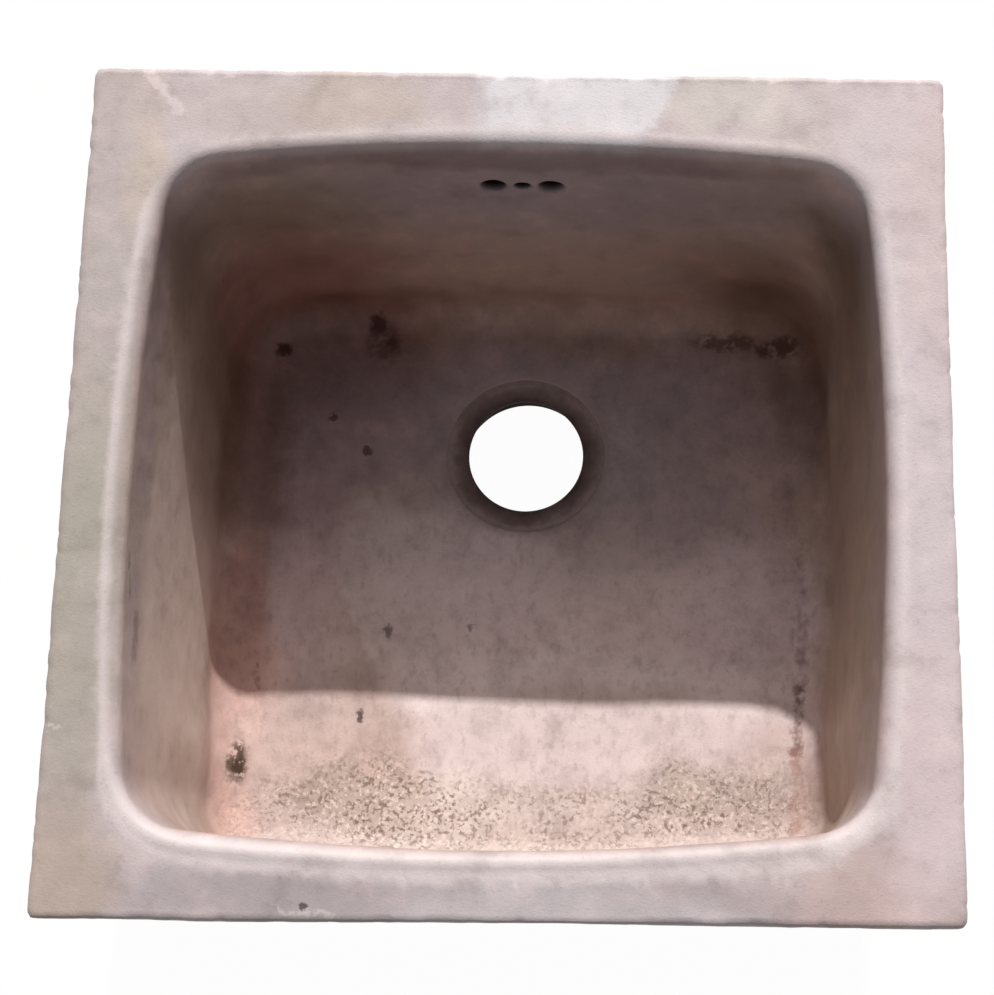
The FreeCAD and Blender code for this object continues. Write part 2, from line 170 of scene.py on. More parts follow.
def mouth_gap(points):
    """How far each point lies inside the bowl's mouth, in plan. It is negative on the rim."""
    low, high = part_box("basin_body")
    side = high.x - SIDE_RIM
    back = high.y - BACK_RIM
    front = low.y + FRONT_RIM
    x = np.abs(points[:, 0])
    y = points[:, 1] / (1.0 - TWIST * points[:, 0])
    from_side = MOUTH_BOW - np.hypot(x - side + MOUTH_BOW, y - (back + front) / 2)
    from_back = MOUTH_BOW - np.hypot(x, y - back + MOUTH_BOW)
    from_front = MOUTH_BOW - np.hypot(x, y - front - MOUTH_BOW)
    along = np.maximum(MOUTH_CORNER - np.minimum(from_back, from_front), 0.0)
    across = np.maximum(MOUTH_CORNER - from_side, 0.0)
    return MOUTH_CORNER - np.hypot(along, across)


def bowl_share(points):
    """1 inside the bowl, 0 on the rim, outside and underneath."""
    inside = smooth_step(mouth_gap(points), *BOWL_EDGE)
    return inside * smooth_step(points[:, 2], *BOWL_BOTTOM)


def pale_lip_and_highlight_share(points):
    """How pale the rounded lip of the bowl is worn, with a painted highlight along the front lip,
    from 0 to 1. The band is wider at the front and runs further into the bowl there.
    """
    gap = mouth_gap(points)
    front = smooth_step(-points[:, 1], *LIP_FRONT)
    start = LIP_START - LIP_START_FRONT * front
    end = LIP_END + LIP_HIGHLIGHT_END_FRONT * front
    band = smooth_step(gap - start, 0.0, LIP_RISE)
    band *= 1.0 - smooth_step(gap - end, 0.0, LIP_FADE)
    band *= LIP_SHARE + (1.0 - LIP_SHARE) * front
    return band * smooth_step(points[:, 2], RIM_TOP - LIP_DEPTH[0], RIM_TOP - LIP_DEPTH[1])


def floor_fall(points, reach):
    """How far the floor rises towards its sides, so that water runs to the waste."""
    inside = bowl_share(points) * (1.0 - smooth_step(points[:, 2], *FALL_LEVEL))
    side = np.where(points[:, 0] < 0.0, FALL_LEFT, FALL_RIGHT)
    rise = side * smooth_step(np.abs(points[:, 0]), *FALL_SPAN)
    return rise * inside * smooth_step(reach, *FALL_FREE)


def front_corner(points):
    """1 low down in the bowl's two front corners, which are squarer there than at its mouth."""
    side = smooth_step(np.abs(points[:, 0]), *CORNER_SIDE)
    front = smooth_step(-points[:, 1], *CORNER_FRONT)
    low = 1.0 - smooth_step(points[:, 2], *CORNER_LEVEL)
    return side * front * low * bowl_share(points)


def add_ring(mesh, profile):
    """Adds a closed ring round the waste's axis to a mesh, from the corners of its section."""
    rows = []
    for turn in np.linspace(0.0, 2.0 * np.pi, PACKED_STEPS, endpoint=False):
        way = Vector((np.cos(turn), np.sin(turn), 0.0))
        middle = Vector((*WASTE_PLACE, 0.0))
        rows.append([mesh.verts.new(middle + reach * way + Vector((0.0, 0.0, level)))
                     for reach, level in profile])
    for row, after in zip(rows, rows[1:] + rows[:1]):
        for index in range(len(profile)):
            follow = (index + 1) % len(profile)
            mesh.faces.new((row[index], after[index], after[follow], row[follow]))


def make_basin(node):
    """The visible basin: the CAD body with the unevenness, the wear and the twist of its firing."""
    piece = bpy.data.objects.new("basin_stoneware", node.data.copy())
    bpy.context.scene.collection.objects.link(piece)
    joined = bmesh.new()
    joined.from_mesh(piece.data)
    bmesh.ops.remove_doubles(joined, verts=joined.verts, dist=WELD)
    add_ring(joined, PACKED_DIRT)
    joined.to_mesh(piece.data)
    joined.free()
    remesh = piece.modifiers.new("remesh", "REMESH")
    remesh.mode = "VOXEL"
    remesh.voxel_size = VOXEL
    applied(piece)

    points = read_points(piece.data)
    normals = read_normals(piece.data)
    reach = np.hypot(points[:, 0] - WASTE_PLACE[0], points[:, 1] - WASTE_PLACE[1])
    free = smooth_step(reach, *WASTE_KEEP) * smooth_step(points[:, 2], *UNEVEN_FROM)
    uneven = np.zeros(len(points))
    for height, cell, seed in (WAVE, RIPPLE, GRAIN):
        uneven += height * value_noise(points, cell, seed)
    move = uneven * free

    # Worn outer edge of the rim
    lean = (RIM_TOP - points[:, 2]) * SIDE_LEAN
    low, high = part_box("basin_body")
    gap_side = np.minimum(high.x - lean - np.abs(points[:, 0]), points[:, 1] - low.y - lean)
    gap_side = np.minimum(gap_side, high.y - points[:, 1])
    gap_top = RIM_TOP - points[:, 2]
    edge = 1.0 - smooth_step(np.hypot(gap_side, gap_top), *EDGE_BAND)
    nicks = smooth_step(value_noise(points, *NICK_NOISE), *NICK_LEVELS)
    chips = smooth_step(value_noise(points, *CHIP_NOISE), *CHIP_LEVELS)
    move += edge * (EDGE_PUSH - NICK_DEPTH * nicks - CHIP_DEPTH * chips)

    # Tighter lip at the front
    gap = mouth_gap(points)
    lip = smooth_step(gap, *TIGHT_OUT) * (1.0 - smooth_step(gap, *TIGHT_IN))
    lip *= 1.0 - smooth_step(RIM_TOP - points[:, 2], *TIGHT_DEPTH)
    move += LIP_PUSH * lip * smooth_step(-points[:, 1], *TIGHT_FRONT)

    push = normals * move[:, None]
    corner = CORNER_PUSH * front_corner(points)
    push[:, 0] += np.sign(points[:, 0]) * corner
    push[:, 1] -= corner
    push[:, 2] += floor_fall(points, reach)
    points = points + push

    # Overflow holes a little to the right, and the block a little large and out of square
    away = np.linalg.norm(points - OVERFLOW_PLACE, axis=1)
    points[:, 0] += OVERFLOW_SHIFT * (1.0 - smooth_step(away, *OVERFLOW_REACH))
    points[:, :2] *= SPREAD
    points[:, 1] *= 1.0 - FRONT_DRAW * smooth_step(-points[:, 1], *DRAW_SPAN)
    points[:, 1] *= 1.0 - TWIST * points[:, 0]
    piece.data.vertices.foreach_set("co", points.ravel())
    piece.data.update()

    thin = piece.modifiers.new("thin", "DECIMATE")
    faces = sum(len(face.vertices) - 2 for face in piece.data.polygons)
    thin.ratio = min(1.0, FACE_LIMIT / faces)
    applied(piece)
    for face in piece.data.polygons:
        face.use_smooth = True

    points = read_points(piece.data)
    bowl = bowl_share(points)
    steep = smooth_step(1.0 - read_normals(piece.data)[:, 2], *STEEP)
    for name, values in (("bowl", bowl), ("lip", pale_lip_and_highlight_share(points)), ("wall", bowl * steep)):
        share = piece.data.attributes.new(name, "FLOAT", "POINT")
        share.data.foreach_set("value", values.astype(np.float32))
    return piece


def linear(red, green, blue):
    """A colour in linear light from its 0 to 255 screen values."""
    values = []
    for level in (red, green, blue):
        share = level / 255.0
        values.append(share / 12.92 if share <= 0.04045 else ((share + 0.055) / 1.055) ** 2.4)
    return (*values, 1.0)


class Look:
    """Builds one material's nodes. Each method adds nodes and gives the socket of their result."""

    def __init__(self, name):
        self.material = bpy.data.materials.new(name)
        self.material.use_nodes = True
        self.tree = self.material.node_tree
        self.tree.nodes.clear()
        self.shader = self.tree.nodes.new("ShaderNodeBsdfPrincipled")
        output = self.tree.nodes.new("ShaderNodeOutputMaterial")
        self.tree.links.new(self.shader.outputs["BSDF"], output.inputs["Surface"])
        place = self.tree.nodes.new("ShaderNodeTexCoord").outputs["Object"]
        self.place = self.vector("SCALE", place, scale=1.0 / MM)

    def put(self, socket, value):
        if isinstance(value, bpy.types.NodeSocket):
            self.tree.links.new(value, socket)
        else:
            socket.default_value = value

    def attribute(self, name):
        node = self.tree.nodes.new("ShaderNodeAttribute")
        node.attribute_name = name
        return node.outputs["Fac"]

    def set(self, name, value):
        self.put(self.shader.inputs[name], value)

    def math(self, operation, first, second=0.0, clamp=False):
        node = self.tree.nodes.new("ShaderNodeMath")
        node.operation = operation
        node.use_clamp = clamp
        self.put(node.inputs[0], first)
        self.put(node.inputs[1], second)
        return node.outputs[0]

    def vector(self, operation, first, second=None, scale=None):
        node = self.tree.nodes.new("ShaderNodeVectorMath")
        node.operation = operation
        self.put(node.inputs[0], first)
        if second is not None:
            self.put(node.inputs[1], second)
        if scale is not None:
            self.put(node.inputs["Scale"], scale)
        single = operation in ("LENGTH", "DOT_PRODUCT")
        return node.outputs["Value" if single else "Vector"]

    def step(self, value, low, high, start=0.0, end=1.0):
        """Goes smoothly from start to end as value goes from low to high."""
        node = self.tree.nodes.new("ShaderNodeMapRange")
        node.interpolation_type = "SMOOTHSTEP"
        limits = {"From Min": low, "From Max": high, "To Min": start, "To Max": end}
        for name, number in limits.items():
            node.inputs[name].default_value = number
        self.put(node.inputs["Value"], value)
        return node.outputs["Result"]

    def noise(self, size, detail=2.0, roughness=0.5, place=None, colour=False):
        """Noise whose features are about size millimetres wide."""
        node = self.tree.nodes.new("ShaderNodeTexNoise")
        self.put(node.inputs["Vector"], place or self.place)
        node.inputs["Scale"].default_value = 1.0 / size
        node.inputs["Detail"].default_value = detail
        node.inputs["Roughness"].default_value = roughness
        return node.outputs["Color" if colour else "Fac"]

    def mix(self, share, first, second, blend="MIX"):
        node = self.tree.nodes.new("ShaderNodeMix")
        node.data_type = "RGBA"
        node.blend_type = blend
        colours = [socket for socket in node.inputs if socket.type == "RGBA"]
        self.put(node.inputs["Factor"], share)
        self.put(colours[0], first)
        self.put(colours[1], second)
        return next(socket for socket in node.outputs if socket.type == "RGBA")

    def shaken(self, size, amount, detail):
        """The place, pushed about by noise so that marks get natural edges."""
        push = self.vector("SUBTRACT", self.noise(size, detail, 0.6, colour=True), (0.5, 0.5, 0.5))
        return self.vector("ADD", self.place, self.vector("SCALE", push, scale=amount))

    def blot(self, place, centre, reach, soft):
        """1 in an ellipsoid round centre, fading to 0 over the outer soft share of its reach."""
        away = self.vector("SUBTRACT", place, centre)
        away = self.vector("MULTIPLY", away, tuple(1.0 / length for length in reach))
        return self.step(self.vector("LENGTH", away), 1.0 - soft, 1.0 + soft, 1.0, 0.0)

    def stroke(self, place, start, end, width, soft):
        """1 along a line from start to end, fading to 0 at width from it."""
        run = Vector(end) - Vector(start)
        way = run.normalized()
        away = self.vector("SUBTRACT", place, start)
        along = self.vector("DOT_PRODUCT", away, tuple(way))
        along = self.math("MINIMUM", self.math("MAXIMUM", along, 0.0), run.length)
        foot = self.vector("SCALE", tuple(way), scale=along)
        gap = self.vector("LENGTH", self.vector("SUBTRACT", away, foot))
        return self.step(gap, width * (1.0 - soft), width, 1.0, 0.0)

    def between(self, place, way, low, high, soft):
        """1 where the reach along a way lies between two values, with soft ends."""
        along = self.vector("DOT_PRODUCT", place, way)
        rise = self.step(along, low - soft, low + soft)
        return self.math("MULTIPLY", rise, self.step(along, high - soft, high + soft, 1.0, 0.0))

    def radius(self, place):
        """How far a place lies from the waste's axis."""
        away = self.vector("SUBTRACT", place, WASTE_AXIS)
        return self.vector("LENGTH", self.vector("MULTIPLY", away, (1.0, 1.0, 0.0)))

    def bump(self, height):
        node = self.tree.nodes.new("ShaderNodeBump")
        node.inputs["Distance"].default_value = PIT_DEPTH
        node.inputs["Strength"].default_value = PIT_STRENGTH
        self.put(node.inputs["Height"], height)
        self.tree.links.new(node.outputs["Normal"], self.shader.inputs["Normal"])


# Marks on the stoneware: centre, reach, softness, colour and strength, in millimetres
RIM_MARKS = [
    ((-188, 0, 240), (22, 230, 30), 0.3, (181, 169, 165), 0.9),
    ((-190, -45, 240), (14, 80, 20), 0.6, (168, 164, 150), 0.6),
    ((-188, 110, 240), (16, 60, 20), 0.6, (188, 178, 178), 0.5),
    ((-188, 160, 240), (14, 24, 20), 0.6, (202, 188, 186), 0.5),
    ((-172, 160, 240), (8, 36, 20), 0.6, (206, 190, 176), 0.6),
    ((-186, -110, 240), (14, 50, 20), 0.6, (174, 164, 156), 0.5),
    ((0, -186, 240), (160, 15, 20), 0.4, (187, 178, 181), 0.9),
    ((-110, -186, 240), (64, 12, 20), 0.6, (165, 153, 155), 0.7),
    ((-186, -180, 240), (19, 28, 20), 0.5, (182, 164, 154), 0.8),
    ((-45, -182, 240), (36, 6, 20), 0.6, (174, 160, 162), 0.5),
    ((92, -184, 240), (34, 9, 20), 0.6, (172, 157, 157), 0.6),
    ((165, -182, 240), (42, 20, 20), 0.6, (190, 166, 163), 0.8),
    ((186, -190, 240), (16, 13, 20), 0.6, (178, 158, 146), 0.5),
    ((0, 182, 240), (195, 20, 20), 0.4, (199, 184, 185), 0.8),
    ((-80, 184, 240), (34, 12, 14), 0.5, (196, 180, 168), 0.7),
    ((-125, 182, 240), (40, 18, 20), 0.6, (192, 176, 174), 0.3),
    ((101, 184, 240), (36, 12, 14), 0.5, (209, 200, 195), 0.7),
    ((188, 0, 240), (18, 190, 20), 0.5, (208, 195, 200), 0.8),
    ((180, 170, 240), (24, 36, 20), 0.6, (216, 202, 204), 0.6),
    ((192, 120, 240), (12, 70, 20), 0.6, (208, 190, 190), 0.6),
    ((186, -130, 240), (20, 60, 20), 0.6, (216, 194, 196), 0.6),
]
BOWL_STAINS_AND_PAINTED_LIGHT = [
    # Floor in the shade
    # Painted light: the shaded floor made paler towards the sunlit front
    ((10, -40, 50), (160, 66, 24), 0.6, (243, 225, 224), 0.9),
    # Darker at the back of the floor: partly grime, partly painted shade deepening the shadow there
    ((10, 105, 50), (150, 50, 20), 0.6, (146, 126, 130), 0.8),
    ((-110, 55, 50), (60, 64, 20), 0.6, (152, 130, 134), 0.7),
    ((95, 24, 50), (44, 26, 20), 0.5, (166, 152, 158), 0.45),
    ((118, -34, 52), (38, 46, 20), 0.6, (236, 221, 228), 0.7),
    ((-66, -15, 50), (30, 56, 20), 0.6, (212, 199, 188), 0.5),
    ((-118, -28, 52), (24, 48, 20), 0.6, (226, 205, 209), 0.6),
    ((12, 62, 50), (85, 58, 16), 0.6, (156, 146, 149), 0.6),
    ((-44, -12, 50), (50, 40, 16), 0.6, (236, 221, 226), 0.6),
    # Painted light: a pale strip of shaded floor along the edge of the sun's shadow
    ((20, -62, 52), (125, 22, 16), 0.6, (250, 238, 239), 0.8),
    ((54, 66, 50), (18, 26, 12), 0.6, (180, 172, 175), 0.5),
    ((-138, -68, 56), (16, 26, 16), 0.6, (242, 214, 206), 0.8),
    # Walls
    ((162, 110, 170), (20, 70, 70), 0.6, (124, 102, 84), 0.7),
    ((168, -60, 120), (16, 90, 80), 0.6, (184, 164, 146), 0.7),
    # Painted shade: the back of the left wall darker, where it lies in shadow
    ((-162, 112, 110), (20, 56, 70), 0.6, (122, 96, 84), 0.65),
    # Painted light: the front of the left wall paler, where the sun grazes it
    ((-166, -40, 140), (18, 110, 110), 0.5, (233, 216, 206), 0.9),
    ((-169, 10, 216), (8, 100, 14), 0.6, (176, 158, 166), 0.5),
    # Brown stain on the left wall, deepened with painted shade where it lies in shadow
    ((-162, 62, 100), (16, 56, 50), 0.6, (134, 106, 93), 0.6),
    ((20, 158, 192), (150, 16, 44), 0.6, (160, 150, 156), 0.85),
    # Painted shade: a dark band at the top of the back wall, under its lip
    ((0, 160, 229), (165, 12, 10), 0.5, (108, 95, 97), 0.65),
    ((-158, 135, 205), (20, 28, 40), 0.6, (104, 86, 79), 0.55),
    ((158, 128, 200), (20, 30, 44), 0.6, (98, 82, 70), 0.7),
    ((-120, 156, 178), (46, 14, 30), 0.6, (136, 123, 102), 0.6),
    ((-130, 152, 130), (56, 20, 50), 0.6, (130, 98, 93), 0.5),
    ((110, 150, 110), (40, 16, 34), 0.6, (112, 90, 78), 0.45),
    ((160, 20, 110), (18, 50, 60), 0.6, (142, 120, 104), 0.4),
    ((150, -125, 90), (20, 24, 50), 0.6, (152, 130, 114), 0.4),
    # Brown and red in the back corners and along the sides of the floor
    ((0, 138, 60), (150, 18, 16), 0.7, (146, 118, 102), 0.6),
    ((-132, 146, 80), (72, 38, 56), 0.6, (138, 90, 81), 0.6),
    ((-104, 141, 58), (54, 16, 20), 0.6, (106, 66, 55), 0.75),
    ((-112, 116, 52), (48, 34, 14), 0.6, (102, 82, 80), 0.7),
    ((146, 140, 75), (46, 40, 40), 0.6, (106, 76, 63), 0.8),
    ((128, 146, 92), (26, 12, 14), 0.6, (104, 80, 68), 0.5),
    ((152, 95, 58), (16, 52, 20), 0.6, (92, 68, 57), 0.7),
    # Red-brown stain along the left of the floor, deepened with painted shade where it lies in
    # shadow
    ((-150, 70, 60), (20, 62, 24), 0.6, (102, 66, 56), 0.75),
    ((-152, -30, 58), (14, 50, 20), 0.6, (172, 118, 106), 0.6),
    ((-147, -105, 58), (13, 46, 20), 0.6, (222, 182, 172), 0.6),
    # Floor in the sun
    ((-95, -95, 50), (54, 40, 20), 0.4, (201, 180, 173), 0.8),
    ((42, -98, 50), (98, 38, 20), 0.2, (221, 205, 204), 0.9),
    ((0, -134, 52), (150, 22, 26), 0.4, (205, 189, 183), 0.8),
    ((-28, -122, 51), (28, 16, 16), 0.6, (236, 221, 215), 0.8),
    ((-85, -118, 50), (28, 15, 12), 0.5, (176, 162, 148), 0.5),
    ((-146, -134, 60), (14, 14, 20), 0.6, (196, 158, 146), 0.5),
    ((128, -92, 54), (18, 20, 14), 0.6, (204, 184, 178), 0.5),
    ((98, -112, 50), (38, 14, 12), 0.5, (166, 152, 138), 0.6),
]
BLACK_SPOTS = [
    ((-134, 123, 52), (5.0, 4.0, 9), 0.7),
    ((-82, 138, 54), (4.4, 5.4, 9), 0.6),
    ((-75, 127, 51), (3.0, 5.0, 9), 0.5),
    ((-86, 67, 51), (2.4, 2.8, 9), 0.6),
    ((-105, 85, 51), (1.8, 2.0, 9), 0.6),
    ((-70, -33, 51), (2.4, 2.8, 9), 0.55),
    ((-27, -30, 50), (1.8, 2.4, 9), 0.5),
    ((-84, -79, 51), (2.2, 3.0, 9), 0.75),
    ((-157, 137, 134), (3, 2.2, 2.6), 1.0),
    ((-80, -192, 240), (1.8, 1.5, 4), 0.7),
]
# Mould grown in ragged patches: centre, reach, colour and strength
MOULD = [
    ((-146, -104, 60), (5.0, 13.0, 14), (74, 60, 42), 0.85),
    ((-145, -106, 60), (3.0, 6.5, 14), (62, 48, 36), 0.7),
    ((-78, 128, 51), (10.0, 12.0, 10), (70, 44, 46), 0.45),
    ((108, 129, 53), (18.0, 5.0, 10), (66, 40, 38), 0.5),
    ((136, 125, 56), (14.0, 5.5, 10), (66, 40, 38), 0.6),
]
# Overflow holes, darkened inside with painted shade: centre and reach
OVERFLOW_HOLES = [
    ((-11.2, 165.5, 197), (7.2, 9.0, 7.2)),
    ((2.8, 165.5, 197), (5.2, 9.0, 5.2)),
    ((16.8, 165.5, 197), (7.2, 9.0, 7.2)),
]
WASTE_AXIS = (0.0, 65.5, 0.0)
# Lines: start, end, width, colour and strength
LINES = [
    ((-146, -11, 58), (-137, -65, 55), 2.6, (104, 68, 60), 0.6),
    ((145, -62, 58), (143, -95, 58), 4.6, (104, 66, 56), 0.8),
    ((143, -95, 58), (142, -133, 58), 4.4, (160, 120, 108), 0.6),
    ((146, 20, 59), (146, -62, 59), 5.4, (124, 86, 79), 0.6),
    ((-174, 197, 240), (-158, 179, 240), 4.0, (232, 216, 216), 0.6),
    ((-168, -62, 210), (-166, -78, 214), 7.0, (128, 106, 102), 0.5),
    ((-169, -36, 228), (-168, -54, 224), 3.0, (120, 100, 98), 0.5),
    ((-198, -117, 240), (-192, -117, 240), 1.6, (222, 208, 206), 0.6),
    ((-161, -174, 240), (-166, -187, 240), 2.6, (166, 150, 150), 0.5),
    ((-90, -194, 240), (-66, -195, 240), 1.8, (216, 206, 204), 0.5),
]
FLANGE_GRIME = (150, 133, 131)
# Tide mark on the left of the floor: the way across it, where it fades in and its sharp edge
TIDE_WAY = (0.909, 0.417, 0.0)
TIDE_FADE = (-135.0, -96.0)
TIDE_EDGE = (-94.5, -90.5)
TIDE_TINT = (244, 240, 238)
# How far along y the tide mark runs, and how soft its ends are
TIDE_RUN = (-124.0, 2.0, 14.0)

# Grit: centre, reach and strength of each patch
GRIT_PATCHES = [
    ((0, -132, 54), (146, 20, 22), 0.85),
    ((-76, -122, 51), (56, 22, 18), 1.0),
    ((98, -118, 54), (46, 20, 18), 1.0),
]
GRIT_SOFT = 0.5
GRIT_PALE = (234, 217, 208)
GRIT_OLIVE = (112, 104, 90)
GRIT_BROWN = (124, 94, 82)

# Ways along the axes
ALONG_X = (1.0, 0.0, 0.0)
ALONG_Y = (0.0, 1.0, 0.0)
ALONG_Z = (0.0, 0.0, 1.0)

# Whiter patch on the back of the rim: way, low end, high end and softness of each limit
PATCH_LIMITS = [
    (ALONG_X, -16.0, 90.0, 8.0),
    ((1.0, -0.54, 0.0), -150.0, -27.0, 3.0),
    (ALONG_Y, 158.0, 220.0, 6.0),
    (ALONG_Z, 230.0, 260.0, 6.0),
]
PATCH_TINT = (226, 222, 227)
PATCH_STRENGTH = 0.85

# Pushes that give marks their edges: width of the noise, amount and detail
WIDE_PUSH = (36.0, 36.0, 1.5)
FINE_PUSH = (5.0, 10.0, 3.0)
TIDE_PUSH = (14.0, 8.0, 2.0)
RING_PUSH = (14.0, 11.0, 2.0)

# Noises: width in millimetres, detail and roughness
CLOUD_NOISE = (60.0, 4.0, 0.6)
MOTTLE_NOISE = (15.0, 6.0, 0.7)
FLECK_NOISE = (4.4, 3.0, 0.6)
FLECK_STRETCH = (1.0, 0.6, 1.0)
BLOTCH_NOISE = (22.0, 6.0, 0.65)
SPECK_NOISE = (2.2, 3.0, 0.7)
CLUSTER_NOISE = (9.0, 3.0, 0.6)
CRUMB_NOISE = (2.3, 3.0, 0.6)
GRAIN_NOISE = (2.6, 2.0, 0.6)
TUFT_NOISE = (5.0, 3.0, 0.6)
PIT_NOISE = (0.9, 2.0)

# Levels of a noise between which a tint sets in, then its share at each of them
CLOUD_LEVELS = (0.36, 0.64)
DULL_LEVELS = (0.54, 0.34, 0.0, 0.22)
CLEAR_LEVELS = (0.5, 0.68, 0.0, 0.35)
FLECK_LEVELS = (0.5, 0.76, 0.0, 0.26)
LIGHT_LEVELS = (0.5, 0.72, 0.0, 0.5)
DARK_LEVELS = (0.5, 0.3, 0.0, 0.22)
SPECK_LEVELS = (0.56, 0.74, 0.0, 0.2)
PALE_GRAIN_LEVELS = (0.47, 0.36, 0.0, 0.5)
CRUMB_LEVELS = (0.48, 0.62, 0.0, 0.7)
CLUSTER_LEVELS = (0.32, 0.56)
EARTH_LEVELS = (0.44, 0.56)
TUFT_LEVELS = (0.38, 0.5)
GRIME_LEVELS = (41.0, 48.0, 0.8, 0.0)

# Tints of the clay, as screen values
RIM_COOL = (200, 189, 193)
RIM_WARM = (210, 194, 193)
# Pale of the worn lip, which is also a painted highlight at the front
LIP_PALE_AND_HIGHLIGHT = (223, 211, 211)
LIP_STRENGTH = 0.75
FLOOR_COOL = (184, 163, 161)
FLOOR_WARM = (191, 165, 159)
WALL_COOL = (173, 153, 146)
WALL_WARM = (178, 156, 145)
DULL_TINT = (164, 150, 148)
CLEAR_TINT = (226, 214, 210)
FLECK_TINT = (112, 92, 90)
LIGHT_TINT = (236, 224, 221)
DARK_TINT = (130, 114, 110)
SPECK_TINT = (160, 140, 134)
SPOT_TINT = (38, 18, 20)
# Painted shade inside the overflow holes
HOLE_SHADE_TINT = (44, 20, 22)

# Softness of marks, and the sheen of clean and of dirty clay
LINE_SOFT = 0.8
SPOT_SOFT = 0.4
HOLE_SOFT = 0.15
ROUGHNESS = (0.55, 1.0)
SHEEN = (0.35, 0.05)
PIT_DEPTH = 0.3 * MM
PIT_STRENGTH = 0.35

# Old brass: tints, reach of the rings, and heights of the bore's painted shade
BORE_EDGE_BRASS_AND_SHADE_TINT = (62, 45, 42)
DISH_TINT = (110, 92, 90)
BORE_SHADE_TINT = (34, 26, 25)
TARNISH_TINT = (82, 62, 60)
BORE_RING = (30.5, 36.0)
GRIME_RING = (35.0, 41.5)
BORE_SHADE_FROM = (45.0, 41.0)
BRASS_SHEEN = (41.0, 45.0, 0.05, 0.5)
TARNISH_NOISE = (9.0, 4.0, 0.6)
TARNISH_LEVELS = (0.42, 0.65, 0.0, 0.35)
BRASS_ROUGHNESS = 0.75
BRASS_METALLIC = 0.1

# Plain materials: the noise of their patches, its levels and how dark the patches are
WORN_NOISE = (6.0, 4.0, 0.6)
WORN_LEVELS = (0.4, 0.65)
WORN_DARK = 0.45


